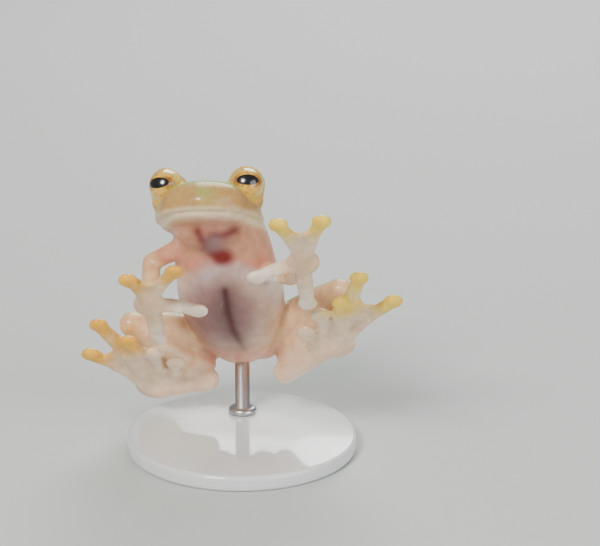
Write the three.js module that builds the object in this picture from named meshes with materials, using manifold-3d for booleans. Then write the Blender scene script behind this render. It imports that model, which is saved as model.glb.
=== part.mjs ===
// A glass frog, life size, clinging as if to a pane of glass that leans toward the viewer.
// Millimetres, +Z up, the belly and the face turned to -Y, the frog's own left side at +X.
// A place on the frog is written [across, ahead, off]: across to the frog's left, ahead along the
// pane toward the snout, and off, the height above the pane that the finger and toe discs touch.
import * as THREE from 'three';
import { mergeVertices } from 'three/addons/utils/BufferGeometryUtils.js';
import Module from 'manifold-3d';

const wasm = await Module();
wasm.setup();

const GAP = 0.3;
const GRAIN = 0.001;
const LEAN = THREE.MathUtils.degToRad(40);

// Trunk, from the vent to the neck: its middle line and its half width and half depth
const TRUNK_LINE = [
  [0, -11.4, 2.4],
  [-0.15, -9.4, 3.4],
  [-0.6, -6.3, 4.35],
  [-1.1, -2.7, 5.5],
  [-1.5, 0.4, 6.4],
  [-1.9, 3.0, 7.0],
];
const TRUNK_WIDE = [2.2, 3.2, 3.9, 3.75, 3.5, 2.9];
const TRUNK_DEEP = [1.4, 2.2, 2.85, 2.75, 2.45, 1.9];

// Head: the snout tip, how far the head points down, and its half width and half height going back
const SNOUT = [-2.7, 7.4, 5.2];
const HEAD_LENGTH = 7.6;
const HEAD_PITCH = THREE.MathUtils.degToRad(18);
const HEAD_TURN = THREE.MathUtils.degToRad(5);
const HEAD_WIDE = [1.65, 2.75, 3.42, 3.72, 3.75, 3.45];
const HEAD_HIGH = [1.15, 1.6, 1.85, 1.95, 2.0, 1.95];
const UNDERSIDE = 0.82;
const LIP_SWELL = 0.06;
const MOUTH_DROP = 0.65;
const MOUTH_LENGTH = 6.4;
const NOSTRIL = { radius: 0.2, back: 0.32, across: 0.72, up: 0.62 };

// Eyes: set high on the head, looking forward and a little outward
const EYE_RADIUS = 1.25;
const EYE_BACK = 3.3;
const EYE_ACROSS = 2.9;
const EYE_UP = 1.85;
const BROW_WALL = 0.3;
const LID_PLANE = -0.1;

// Arms: joints in order from the trunk, and how thick the limb is at each
const ARMS = {
  left: { shoulder: [0.9, -2.1, 5.0], elbow: [3.7, 0.3, 3.0], wrist: [4.45, 4.3, 1.75], palm: [4.55, 6.5, 0.62] },
  right: { shoulder: [-3.6, 0.4, 5.8], elbow: [-6.55, -1.4, 5.2], wrist: [-6.5, -1.3, 2.1], palm: [-6.5, 0.5, 0.62] },
};
const UPPER_ARM_RADII = [0.95, 0.72, 0.62];
const FOREARM_RADII = [0.6, 0.7, 0.56];
const WRIST_RADII = [0.5, 0.6, 0.6];

// Fingers, the thumb side first: the tip of each on the pane
const FINGER_TIPS = {
  left: [[4.85, 1.0], [1.2, 4.7], [2.8, 12.0], [5.8, 12.4]],
  right: [[-6.1, -4.3], [-3.0, -0.1], [-4.6, 5.5], [-7.9, 4.3]],
};
const FINGER_WEBS = [0.25, 0.3, 0.84];
const FINGER_GIRTHS = [1.3, 1, 1, 1.05];
const FINGER_SPREAD = 0.55;

// Legs, folded: joints in order from the trunk, and how thick the limb is at each
const LEGS = {
  left: { hip: [1.5, -10.8, 3.7], knee: [7.3, -2.7, 3.6], heel: [3.2, -10.4, 1.0], sole: [6.6, -5.6, 0.7] },
  right: { hip: [-1.7, -10.9, 3.9], knee: [-8.2, -6.4, 2.8], heel: [-2.6, -11.5, 0.95], sole: [-6.2, -11.9, 0.7] },
};
const THIGH_RADII = [1.25, 1.4, 1.15, 0.85];
const SHANK_RADII = [0.85, 0.95, 0.85, 0.65];
const THIGH_BOW = 0.35;
const SHANK_BOW = -0.5;
const TARSUS_RADII = [0.9, 0.9, 1.05];
const ANKLE_LIFT = 1.3;

// Toes, the innermost first: the tip of each on the pane
const TOE_TIPS = {
  left: [[4.7, -3.4], [5.8, -0.7], [7.3, 1.0], [8.5, 4.6], [11.0, 1.3]],
  right: [[-4.9, -7.9], [-6.5, -6.5], [-8.2, -4.7], [-10.3, -2.2], [-11.1, -6.6]],
};
const TOE_WEBS = [0.7, 0.8, 0.84, 0.84];
const TOE_GIRTHS = [1, 1, 1.1, 1.25, 1];
const TOE_SPREAD = 0.5;

// Digits: thickness, the disc at the tip, and the web between two digits
const DIGIT_RADIUS = 0.48;
const DIGIT_ARCH = 0.25;
const DISC_RADIUS = 0.74;
const DISC_HALF_HEIGHT = 0.4;
const DISC_OFF = 0.4;
const WEB_THICK = 0.5;
const WEB_OFF = 0.28;
const WEB_DIP = 0.18;
const PALM_SIZE = [1.2, 1.5, 0.62];
const SOLE_SIZE = [1.85, 1.9, 0.66];

// Stand: a round base and one short rod up to the pelvis
const BASE_RADIUS = 8.5;
const BASE_THICK = 1.2;
const BASE_CLEARANCE = 0.8;
const BASE_AHEAD_OF_ROD = 4;
const ROD_RADIUS = 0.55;
const ROD_PLACE = [0, -9.6, 3.0];

const SKIN = { color: 0xc9b89f, roughness: 0.35, metalness: 0 };
const EYE = { color: 0xc8a850, roughness: 0.15, metalness: 0 };
const ACRYLIC = { color: 0xdfe3e2, roughness: 0.12, metalness: 0 };
const STEEL = { color: 0xb8babc, roughness: 0.3, metalness: 1 };

const AHEAD = new THREE.Vector3(0, -Math.sin(LEAN), Math.cos(LEAN));
const OFF = new THREE.Vector3(0, Math.cos(LEAN), Math.sin(LEAN));
const ACROSS = new THREE.Vector3(1, 0, 0);

// The place [across, ahead, off] on the frog, as a point in space
function at([across, ahead, off]) {
  return new THREE.Vector3(across, 0, 0).addScaledVector(AHEAD, ahead).addScaledVector(OFF, off);
}

// A smooth value between the evenly spaced entries of a list
function blend(list, t) {
  const line = new THREE.SplineCurve(list.map((value, i) => new THREE.Vector2(i, value)));
  return line.getPoint(t).y;
}

const oval = (turn) => [Math.cos(turn), Math.sin(turn)];

function signedVolume(points, faces) {
  let volume = 0;
  for (const [a, b, c] of faces) {
    volume += points[a].dot(new THREE.Vector3().crossVectors(points[b], points[c])) / 6;
  }
  return volume;
}

function solid(points, faces) {
  const inward = signedVolume(points, faces) < 0;
  const triVerts = new Uint32Array(faces.flatMap(([a, b, c]) => (inward ? [a, c, b] : [a, b, c])));
  const vertProperties = new Float32Array(points.flatMap((p) => p.toArray()));
  return new wasm.Manifold(new wasm.Mesh({ numProp: 3, vertProperties, triVerts }));
}

// How far a section has filled out at a distance from an end that is rounded over a given length
function rounding(distance, over) {
  const short = Math.max(0, 1 - distance / over);
  return Math.sqrt(Math.max(0, 1 - short ** 2));
}

// A rounded limb or body: sections square to a smooth line, closed by a pole at each end.
// grow makes the same form larger all round, to cut its seat in a neighbour.
function loft({ line, wide, deep = wide, caps, face = OFF, sides = 12, steps = 10, section = oval, grow = 0 }) {
  const curve = new THREE.CatmullRomCurve3(line, false, 'centripetal');
  const length = curve.getLength();
  const whole = length + 2 * grow;
  const points = [];
  const faces = [];
  for (let i = 1; i < steps; i += 1) {
    const t = (1 - Math.cos((Math.PI * i) / steps)) / 2;
    const run = t * whole;
    const shrink = rounding(run, caps[0] + grow) * rounding(whole - run, caps[1] + grow);
    const u = THREE.MathUtils.clamp((run - grow) / length, 0, 1);
    const along = curve.getTangentAt(u);
    const middle = curve.getPointAt(u).addScaledVector(along, run - grow - u * length);
    const side = new THREE.Vector3().crossVectors(along, face).normalize();
    const up = new THREE.Vector3().crossVectors(side, along).normalize();
    const halfWide = (blend(wide, u) + grow) * shrink;
    const halfDeep = (blend(deep, u) + grow) * shrink;
    for (let j = 0; j < sides; j += 1) {
      const [x, y] = section((2 * Math.PI * j) / sides, u);
      points.push(middle.clone().addScaledVector(side, x * halfWide).addScaledVector(up, y * halfDeep));
    }
  }
  const rings = steps - 1;
  for (let i = 0; i < rings - 1; i += 1) {
    for (let j = 0; j < sides; j += 1) {
      const k = (j + 1) % sides;
      faces.push([i * sides + j, i * sides + k, (i + 1) * sides + j]);
      faces.push([i * sides + k, (i + 1) * sides + k, (i + 1) * sides + j]);
    }
  }
  const tail = points.push(curve.getPointAt(0).addScaledVector(curve.getTangentAt(0), -grow)) - 1;
  const tip = points.push(curve.getPointAt(1).addScaledVector(curve.getTangentAt(1), grow)) - 1;
  for (let j = 0; j < sides; j += 1) {
    const k = (j + 1) % sides;
    faces.push([tail, k, j]);
    faces.push([tip, (rings - 1) * sides + j, (rings - 1) * sides + k]);
  }
  return solid(points, faces);
}

// A three.js geometry, placed by its matrix, as a solid
function fromGeometry(geometry, matrix, tolerance = 1e-5) {
  const shape = geometry.clone();
  shape.deleteAttribute('normal');
  shape.deleteAttribute('uv');
  const merged = mergeVertices(shape, tolerance).applyMatrix4(matrix);
  const points = [];
  for (let i = 0; i < merged.attributes.position.count; i += 1) {
    points.push(new THREE.Vector3().fromBufferAttribute(merged.attributes.position, i));
  }
  const index = merged.index.array;
  const faces = [];
  for (let i = 0; i < index.length; i += 3) faces.push([index[i], index[i + 1], index[i + 2]]);
  return solid(points, faces);
}

// An oval ball with its half sizes across, ahead and off the pane
function ball(centre, [across, ahead, off], segments = 12) {
  const axes = new THREE.Matrix4().makeBasis(
    ACROSS.clone().multiplyScalar(across),
    AHEAD.clone().multiplyScalar(ahead),
    OFF.clone().multiplyScalar(off),
  );
  axes.setPosition(centre);
  return fromGeometry(new THREE.SphereGeometry(1, segments, Math.round(segments * 0.7)), axes);
}

// The points of a solid, as three.js reads them
function pointsOf(form) {
  const { vertProperties, numProp } = form.getMesh();
  const points = [];
  for (let i = 0; i < vertProperties.length; i += numProp) {
    points.push(new THREE.Vector3(vertProperties[i], vertProperties[i + 1], vertProperties[i + 2]));
  }
  return points;
}

function facesOf(form) {
  const { triVerts } = form.getMesh();
  const faces = [];
  for (let i = 0; i < triVerts.length; i += 3) faces.push([triVerts[i], triVerts[i + 1], triVerts[i + 2]]);
  return faces;
}

// The largest closed surface of a solid, which drops sealed hollows and loose scraps
function largest(form) {
  const pieces = form.decompose();
  pieces.sort((a, b) => b.volume() - a.volume());
  return pieces[0];
}

function geometryOf(form) {
  const geometry = new THREE.BufferGeometry().setFromPoints(pointsOf(form));
  geometry.setIndex(facesOf(form).flat());
  return geometry;
}

// A named mesh of a solid, moved by a shift, with points closer than the grain made one
function node(name, form, look, shift) {
  const moved = geometryOf(largest(form)).translate(shift.x, shift.y, shift.z);
  const place = moved.attributes.position;
  for (let i = 0; i < place.array.length; i += 1) place.array[i] = Math.round(place.array[i] / GRAIN) * GRAIN;
  const clean = largest(fromGeometry(moved, new THREE.Matrix4(), GRAIN));
  const mesh = new THREE.Mesh(geometryOf(clean), new THREE.MeshStandardMaterial(look));
  mesh.name = name;
  return mesh;
}

// Head axes: forward out of the snout, up through the crown, and across to the frog's left
const FORWARD = AHEAD.clone().multiplyScalar(Math.cos(HEAD_PITCH)).addScaledVector(OFF, -Math.sin(HEAD_PITCH));
const CROWN = AHEAD.clone().multiplyScalar(Math.sin(HEAD_PITCH)).addScaledVector(OFF, Math.cos(HEAD_PITCH));
FORWARD.applyAxisAngle(CROWN, -HEAD_TURN);
const HEAD_LEFT = new THREE.Vector3().crossVectors(CROWN, FORWARD).normalize();

function onHead(back, across, up) {
  const place = at(SNOUT).addScaledVector(FORWARD, -back);
  return place.addScaledVector(HEAD_LEFT, across).addScaledVector(CROWN, up);
}

// The head's section: squarish, flatter below, with the lips standing out in a band along the mouth
function headSection(turn) {
  const [c, s] = oval(turn);
  const squareness = 0.85;
  const x = Math.sign(c) * Math.abs(c) ** squareness;
  const y = Math.sign(s) * Math.abs(s) ** squareness;
  const lip = LIP_SWELL * Math.exp(-(((y + 0.3) / 0.22) ** 2)) * Math.abs(x);
  return [x + Math.sign(x) * lip, y < 0 ? y * UNDERSIDE : y];
}

function wholeHead(grow = 0) {
  const line = [0, 2.2, 4.6, HEAD_LENGTH].map((back) => onHead(back, 0, 0.12 * back * (1 - back / HEAD_LENGTH)));
  const shape = { line, wide: HEAD_WIDE, deep: HEAD_HIGH, face: CROWN, section: headSection };
  return loft({ ...shape, sides: 26, steps: 16, caps: [1.5, 1.5], grow });
}

// The room that the lower jaw fills: all below the mouth, from in front of the snout to its corners
function belowMouth(grow = 0) {
  const reach = 12;
  const deep = 6;
  const start = MOUTH_LENGTH + grow;
  const middle = onHead(start - reach / 2, 0, -MOUTH_DROP - deep / 2 + grow);
  const axes = new THREE.Matrix4().makeBasis(HEAD_LEFT, FORWARD, CROWN).setPosition(middle);
  const box = new THREE.BoxGeometry(reach, reach, deep);
  return fromGeometry(box, axes);
}

function eyeCentre(side) {
  return onHead(EYE_BACK, side * EYE_ACROSS, EYE_UP);
}

function eyeball(side, grow = 0) {
  const size = EYE_RADIUS + grow;
  return ball(eyeCentre(side), [size, size, size], 16);
}

// The brow and lids: a bulge round the eye, open in front of a slanting plane through the eye
function brow(side) {
  const outer = EYE_RADIUS + GAP + BROW_WALL;
  const seat = onHead(EYE_BACK + 0.35, side * (EYE_ACROSS - 0.35), EYE_UP - 0.3);
  const bulge = ball(seat, [outer, outer, outer], 14);
  const gaze = FORWARD.clone().addScaledVector(HEAD_LEFT, 0.3 * side).addScaledVector(CROWN, 0.2).normalize();
  const reach = 6;
  const front = eyeCentre(side).addScaledVector(gaze, LID_PLANE + reach / 2);
  const up = new THREE.Vector3().crossVectors(gaze, HEAD_LEFT).normalize();
  const level = new THREE.Vector3().crossVectors(gaze, up).normalize();
  const axes = new THREE.Matrix4().makeBasis(level, up, gaze).setPosition(front);
  return bulge.subtract(fromGeometry(new THREE.BoxGeometry(reach, reach, reach), axes));
}

function nostril(side) {
  const size = NOSTRIL.radius;
  return ball(onHead(NOSTRIL.back, side * NOSTRIL.across, NOSTRIL.up), [size, size, size], 8);
}

function head() {
  let form = wholeHead().subtract(belowMouth(GAP));
  for (const side of [1, -1]) form = form.add(brow(side));
  for (const side of [1, -1]) form = form.subtract(eyeball(side, GAP)).subtract(nostril(side));
  return form;
}

function jaw() {
  let form = wholeHead().intersect(belowMouth());
  for (const side of [1, -1]) form = form.subtract(eyeball(side, GAP));
  return form;
}

function trunk(grow = 0) {
  const shape = { line: TRUNK_LINE.map(at), wide: TRUNK_WIDE, deep: TRUNK_DEEP, caps: [2.2, 1.6] };
  return loft({ ...shape, sides: 24, steps: 16, grow });
}

// A limb from joint to joint, with a ball of its own thickness round each
function limb(joints, radii, grow = 0, sides = 12, steps = 10) {
  const line = joints.map(at);
  const caps = [radii[0], radii.at(-1)];
  const start = line[0].clone().sub(line[1]).setLength(caps[0]).add(line[0]);
  const end = line.at(-1).clone().sub(line.at(-2)).setLength(caps[1]).add(line.at(-1));
  return loft({ line: [start, ...line.slice(1, -1), end], wide: radii, caps, sides, steps, grow });
}

// The place half way between two joints, lifted off the straight line between them
function bowed(a, b, lift) {
  return a.map((value, i) => (value + b[i]) / 2 + (i === 2 ? lift : 0));
}

// One digit on the pane: a slim arched tube that ends in a round flat disc
function digit(root, tip, girth, grow) {
  const start = new THREE.Vector3(...root);
  const end = new THREE.Vector3(tip[0], tip[1], DISC_OFF);
  const middle = start.clone().lerp(end, 0.5);
  middle.z += DIGIT_ARCH;
  const line = [start, middle, end].map((p) => at(p.toArray()));
  const radii = [1.25, girth, 0.85].map((share) => share * DIGIT_RADIUS);
  const tube = loft({ line, wide: radii, caps: [DIGIT_RADIUS, DIGIT_RADIUS], sides: 8, steps: 6, grow });
  const disc = [DISC_RADIUS + grow, DISC_RADIUS + grow, DISC_HALF_HEIGHT + grow];
  return tube.add(ball(at(end.toArray()), disc, 9));
}

// The web between two digits: a flat plate on the pane whose free edge dips toward the root
function web(root, tipA, tipB, reach) {
  const foot = new THREE.Vector2(root[0], root[1]);
  const cornerA = foot.clone().lerp(new THREE.Vector2(...tipA), reach);
  const cornerB = foot.clone().lerp(new THREE.Vector2(...tipB), reach);
  const dip = cornerA.clone().add(cornerB).multiplyScalar(0.5).lerp(foot, WEB_DIP);
  const outline = new THREE.Shape();
  outline.moveTo(foot.x, foot.y);
  outline.lineTo(cornerA.x, cornerA.y);
  outline.quadraticCurveTo(dip.x, dip.y, cornerB.x, cornerB.y);
  const plate = new THREE.ExtrudeGeometry(outline, { depth: WEB_THICK, bevelEnabled: false, curveSegments: 4 });
  const axes = new THREE.Matrix4().makeBasis(ACROSS, AHEAD, OFF).setPosition(at([0, 0, WEB_OFF]));
  return fromGeometry(plate, axes);
}

// Where each digit leaves a palm or sole: evenly spaced in the direction from the first tip to the last
function digitRoots(root, tips, spread) {
  const way = new THREE.Vector2(...tips.at(-1)).sub(new THREE.Vector2(...tips[0])).setLength(spread);
  const middle = (tips.length - 1) / 2;
  return tips.map((tip, i) => [root[0] + way.x * (i - middle), root[1] + way.y * (i - middle), root[2]]);
}

// A palm or sole with its digits and webs, and a stalk up to the joint above it
function paw({ root, size, joint, stalk, tips, girths, webs, spread, grow = 0 }) {
  let form = ball(at(root), size.map((half) => half + grow));
  form = form.add(limb([joint, root], stalk, grow, 10, 8));
  const roots = digitRoots(root, tips, spread);
  tips.forEach((tip, i) => { form = form.add(digit(roots[i], tip, girths[i], grow)); });
  if (!grow) webs.forEach((reach, i) => { form = form.add(web(root, tips[i], tips[i + 1], reach)); });
  return form;
}

const FINGERS = { girths: FINGER_GIRTHS, webs: FINGER_WEBS, spread: FINGER_SPREAD };
const TOES = { girths: TOE_GIRTHS, webs: TOE_WEBS, spread: TOE_SPREAD };

const wholeTrunk = trunk();
const trunkSeat = trunk(GAP);
const forms = {};
forms.torso = wholeTrunk.subtract(wholeHead(GAP));
forms.head = head();
forms.jaw = jaw();

for (const side of ['left', 'right']) {
  const arm = ARMS[side];
  const leg = LEGS[side];
  const upperArm = [arm.shoulder, arm.elbow];
  const forearm = [arm.elbow, arm.wrist];
  const ankle = [leg.heel[0], leg.heel[1], leg.heel[2] + ANKLE_LIFT];
  const thigh = [leg.hip, bowed(leg.hip, leg.knee, THIGH_BOW), leg.knee];
  const shank = [leg.knee, bowed(leg.knee, ankle, SHANK_BOW), ankle];
  const upperArmSeat = limb(upperArm, UPPER_ARM_RADII, GAP);
  const forearmSeat = limb(forearm, FOREARM_RADII, GAP);
  const thighSeat = limb(thigh, THIGH_RADII, GAP);
  const shankSeat = limb(shank, SHANK_RADII, GAP);
  const hand = { root: arm.palm, size: PALM_SIZE, joint: arm.wrist, stalk: WRIST_RADII };
  const foot = { root: leg.sole, size: SOLE_SIZE, joint: leg.heel, stalk: TARSUS_RADII };
  const palm = paw({ ...hand, ...FINGERS, tips: FINGER_TIPS[side] });
  const sole = paw({ ...foot, ...TOES, tips: TOE_TIPS[side] });
  forms[`upper_arm_${side}`] = limb(upperArm, UPPER_ARM_RADII).subtract(trunkSeat).subtract(wholeHead(GAP));
  forms[`forearm_${side}`] = limb(forearm, FOREARM_RADII).subtract(upperArmSeat).subtract(trunkSeat);
  forms[`hand_${side}`] = palm.subtract(forearmSeat).subtract(trunkSeat);
  forms[`thigh_${side}`] = limb(thigh, THIGH_RADII).subtract(trunkSeat);
  forms[`shank_${side}`] = limb(shank, SHANK_RADII).subtract(thighSeat).subtract(trunkSeat);
  forms[`foot_${side}`] = sole.subtract(shankSeat).subtract(thighSeat).subtract(trunkSeat);
}

forms.eye_left = eyeball(1);
forms.eye_right = eyeball(-1);

// The stand: the base clears the lowest toe, and the rod ends in a seat under the pelvis
function boxOf(list) {
  return new THREE.Box3().setFromPoints(list.flatMap(pointsOf));
}

function uprightCylinder(radius, height, middle, sides) {
  const place = new THREE.Matrix4().makeRotationX(Math.PI / 2).setPosition(middle);
  return fromGeometry(new THREE.CylinderGeometry(radius, radius, height, sides), place);
}

const rodTop = at(ROD_PLACE);
const baseTop = boxOf(Object.values(forms)).min.z - BASE_CLEARANCE;
const rodLength = rodTop.z - baseTop - GAP;
const rodMiddle = new THREE.Vector3(rodTop.x, rodTop.y, baseTop + GAP + rodLength / 2);
const baseMiddle = new THREE.Vector3(rodTop.x, rodTop.y - BASE_AHEAD_OF_ROD, baseTop - BASE_THICK / 2);
forms.stand_rod = uprightCylinder(ROD_RADIUS, rodLength, rodMiddle, 16).subtract(trunkSeat);
forms.stand_base = uprightCylinder(BASE_RADIUS, BASE_THICK, baseMiddle, 48);

// The origin is the middle of the underside of the whole object's box
const box = boxOf(Object.values(forms));
const middle = box.getCenter(new THREE.Vector3());
const shift = new THREE.Vector3(-middle.x, -middle.y, -box.min.z);
const looks = { eye_left: EYE, eye_right: EYE, stand_rod: STEEL, stand_base: ACRYLIC };
const frog = new THREE.Group();
for (const [name, form] of Object.entries(forms)) frog.add(node(name, form, looks[name] || SKIN, shift));

export default frog;
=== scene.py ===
# %% [markdown]
# # A glass frog on a short stand
#
# This lesson dresses a life-size model of a glass frog, about 20 mm long. The frame already holds its
# solids. Here one soft skin takes the place of the solids of flesh, so that no seam shows, and the eyes
# and the stand get finer pieces of their own.

# %% Load the frame
import math

import bpy
import numpy as np
from mathutils import Matrix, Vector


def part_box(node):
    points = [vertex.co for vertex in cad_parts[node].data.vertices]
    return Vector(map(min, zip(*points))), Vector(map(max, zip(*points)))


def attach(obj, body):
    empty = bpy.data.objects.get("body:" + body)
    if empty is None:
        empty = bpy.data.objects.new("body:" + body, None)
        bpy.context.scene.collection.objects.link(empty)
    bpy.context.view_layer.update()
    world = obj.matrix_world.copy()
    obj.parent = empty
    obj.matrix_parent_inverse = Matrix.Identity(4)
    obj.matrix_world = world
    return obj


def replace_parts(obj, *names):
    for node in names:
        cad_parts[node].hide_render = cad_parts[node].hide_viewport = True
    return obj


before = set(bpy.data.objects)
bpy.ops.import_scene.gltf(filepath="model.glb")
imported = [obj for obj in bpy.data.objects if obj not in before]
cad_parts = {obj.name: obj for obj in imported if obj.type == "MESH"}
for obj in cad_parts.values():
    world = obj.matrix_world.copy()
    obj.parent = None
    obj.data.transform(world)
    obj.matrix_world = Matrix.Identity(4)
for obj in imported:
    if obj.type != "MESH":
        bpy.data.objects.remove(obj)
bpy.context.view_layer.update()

# %% [markdown]
# ## Places on the frog
#
# The frog clings as if to a pane that leans toward the viewer. A place on it is written as across
# (to the frog's own left), ahead (along the pane toward the snout) and off (the height above the pane),
# in millimetres. Working this way keeps hands and feet flat on one plane. The left eye's solid tells
# where that frame sits in the scene.

# %% Axes of the pane and of the head
MM = 0.001
LEAN = math.radians(40)
ACROSS = np.array([1.0, 0.0, 0.0])
AHEAD = np.array([0.0, -math.sin(LEAN), math.cos(LEAN)])
OFF = np.array([0.0, math.cos(LEAN), math.sin(LEAN)])

SNOUT = (-2.7, 7.4, 5.2)
HEAD_LENGTH = 7.6
HEAD_PITCH = math.radians(18)
HEAD_TURN = math.radians(5)
EYE_RADIUS = 1.25
EYE_PLACE = (3.3, 2.9, 1.85)


def at(place):
    """A place (across, ahead, off) as a point: the sum of the three axes times their distances."""
    across, ahead, off = np.moveaxis(np.asarray(place, float), -1, 0)
    return across[..., None] * ACROSS + ahead[..., None] * AHEAD + off[..., None] * OFF


def unit(vectors):
    """Vectors divided by their own lengths."""
    return vectors / np.linalg.norm(vectors, axis=-1, keepdims=True)


def distance(points, place):
    """How far each point is from one place."""
    return np.linalg.norm(points - np.asarray(place), axis=1)


def turned(vector, axis, angle):
    """A vector turned about an axis: its part along the axis stays and the rest turns in its plane."""
    along = axis * np.dot(axis, vector)
    return along + (vector - along) * math.cos(angle) + np.cross(axis, vector) * math.sin(angle)


CROWN = math.sin(HEAD_PITCH) * AHEAD + math.cos(HEAD_PITCH) * OFF
FORWARD = turned(math.cos(HEAD_PITCH) * AHEAD - math.sin(HEAD_PITCH) * OFF, CROWN, -HEAD_TURN)
HEAD_LEFT = np.cross(CROWN, FORWARD)


def on_head(back, across, up):
    """A place on the head: back from the snout tip, across to the left, and up through the crown."""
    return at(SNOUT) - back * FORWARD + across * HEAD_LEFT + up * CROWN


def eye_centre(side):
    """The middle of an eye: side is 1 for the frog's left and -1 for its right."""
    back, across, up = EYE_PLACE
    return on_head(back, side * across, up)


low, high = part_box("eye_left")
SHIFT = (np.array(low) + np.array(high)) / 2 / MM - eye_centre(1)
print("the frog's frame is moved by", SHIFT.round(2), "mm")

# %% [markdown]
# ## Smooth lines and lofts
#
# Almost all of a frog is rounded sections strung on a smooth line, so one loft makes the trunk, the
# head, each limb and each digit. The line is a cubic through a few joints, and the section is an oval
# whose half sizes change along it. The ends close like the end of an egg, on a pole.

# %% A smooth line through a few points
FINE = 240
print("each line is measured in", FINE, "short spans")


def smooth(points, where):
    """A cubic through evenly spaced entries: each span leaves and meets its entries at the mean slope."""
    points = np.asarray(points, float)
    where = np.clip(where, 0, 1) * (len(points) - 1)
    slope = np.gradient(points, axis=0)
    k = np.clip(where.astype(int), 0, len(points) - 2)
    t = where - k
    if points.ndim > 1:
        t = t[:, None]
    a, b, da, db = points[k], points[k + 1], slope[k], slope[k + 1]
    return (a * (1 + 2 * t) + da * t) * (1 - t) ** 2 + (b * (3 - 2 * t) + db * (t - 1)) * t**2


def even_line(points, where):
    """The points at given shares of the length of a smooth line, and the line's length."""
    dense = smooth(points, np.linspace(0, 1, FINE))
    run = np.concatenate([[0], np.cumsum(np.linalg.norm(np.diff(dense, axis=0), axis=1))])
    places = [np.interp(where * run[-1], run, dense[:, k]) for k in range(3)]
    return np.stack(places, axis=1), run[-1]


# %% A loft along a line
def circle(count):
    """Angles at even steps, once round."""
    return np.linspace(0, 2 * math.pi, count, endpoint=False)


def oval(turn):
    """A round section: cosine and sine of the turn."""
    return np.cos(turn), np.sin(turn)


def loft(line, wide, deep, caps, face, sides, steps, section=oval):
    """A closed body: each point is the line's point, plus side times half width times the section's
    first value, plus up times half depth times its second; both shrink as a quarter circle at the ends."""
    share = (1 - np.cos(math.pi * np.arange(1, steps) / steps)) / 2
    middle, length = even_line(line, share)
    along = unit(np.gradient(middle, axis=0))
    side = unit(np.cross(along, face))
    up = np.cross(side, along)
    run = share * length
    shrink = np.ones_like(run)
    for from_end, cap in ((run, caps[0]), (length - run, caps[1])):
        shrink *= np.sqrt(1 - np.clip(1 - from_end / cap, 0, 1) ** 2)
    x, y = section(circle(sides))
    half_wide = (smooth(wide, share) * shrink)[:, None]
    half_deep = (smooth(deep, share) * shrink)[:, None]
    rings = middle[:, None, :] + (half_wide * x)[..., None] * side[:, None, :]
    rings = rings + (half_deep * y)[..., None] * up[:, None, :]
    ends = even_line(line, np.array([0.0, 1.0]))[0]
    return closed_rings(rings, ends)


# %% Closed surfaces
def band(rows, count, sides):
    """Four-sided faces from ring to ring, where the first ring follows the last."""
    i, j = np.meshgrid(np.arange(rows), np.arange(sides), indexing="ij")
    m, n = (i + 1) % count, (j + 1) % sides
    return np.stack([i * sides + j, i * sides + n, m * sides + n, m * sides + j], -1).reshape(-1, 4)


def closed_rings(rings, ends):
    """Rings of points joined into one closed surface, with a pole point at each end."""
    count, sides = rings.shape[:2]
    points = np.concatenate([rings.reshape(-1, 3), ends])
    j = np.arange(sides)
    k = (j + 1) % sides
    tail, tip = np.full(sides, count * sides), np.full(sides, count * sides + 1)
    last = (count - 1) * sides
    caps = np.concatenate([np.stack([tail, k, j], 1), np.stack([tip, last + j, last + k], 1)])
    return outward(points, [band(count - 1, count, sides), caps])


def outward(points, groups):
    """Faces turned round where the volume that they close counts as negative."""
    volume = 0.0
    for faces in groups:
        for n in range(1, faces.shape[1] - 1):
            a, b, c = points[faces[:, 0]], points[faces[:, n]], points[faces[:, n + 1]]
            volume += np.einsum("ij,ij->", a, np.cross(b, c))
    return points, [faces[:, ::-1] if volume < 0 else faces for faces in groups]


def ball(centre, sizes, axes=(ACROSS, AHEAD, OFF), count=24):
    """An oval ball: rings of latitude round the last axis, scaled by its three half sizes."""
    tilt = np.linspace(0, math.pi, count // 2 + 2)[1:-1, None]
    turn = circle(count)[None, :]
    local = (np.sin(tilt) * np.cos(turn), np.sin(tilt) * np.sin(turn), np.cos(tilt) * np.ones_like(turn))
    rings = sum(value[..., None] * size * axis for value, size, axis in zip(local, sizes, axes))
    ends = np.array([sizes[2] * axes[2], -sizes[2] * axes[2]])
    return closed_rings(rings + centre, ends + centre)


print("a small ball has", len(ball(at(SNOUT), (1, 1, 1))[0]), "points")

# %% [markdown]
# ## Trunk and head
#
# The trunk narrows to the vent and is raised at the shoulders. The head is nearly as long as it is wide
# and squarer than an oval, pointing down a little, with a bulge behind each eye, a soft cheek below it
# and a thin lid round it. Trunk and head repeat the solids' own sizes, so the skin lies where the solids
# are. A ball for the throat carries the chin into the chest.

# %% Sizes of the trunk and head
TRUNK_LINE = [(0, -11.4, 2.4), (-0.15, -9.4, 3.4), (-0.6, -6.3, 4.35)]
TRUNK_LINE += [(-1.1, -2.7, 5.5), (-1.5, 0.4, 6.4), (-1.9, 3.0, 7.0)]
TRUNK_WIDE = [2.2, 3.2, 3.9, 3.75, 3.5, 2.9]
TRUNK_DEEP = [1.4, 2.2, 2.85, 2.75, 2.45, 1.9]
HEAD_WIDE = [1.65, 2.75, 3.42, 3.72, 3.75, 3.45]
HEAD_HIGH = [1.15, 1.6, 1.85, 1.95, 2.0, 1.95]
HEAD_STATIONS = [0, 2.2, 4.6, HEAD_LENGTH]
HEAD_RISE = 0.12
SQUARENESS = 0.85
UNDERSIDE = 0.82
LIP = {"swell": 0.06, "below": 0.3, "width": 0.22}
TRUNK_CAPS = (2.2, 1.6)
HEAD_CAPS = (1.5, 1.5)
BODY_SIDES = 64
BODY_STEPS = 70
THROAT_PLACE = (-2.2, 2.7, 6.1)
THROAT_SIZE = (2.7, 2.7, 1.9)
THROAT_SIDES = 48
print("the head is", 2 * max(HEAD_WIDE), "mm wide and", HEAD_LENGTH, "mm long")


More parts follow.
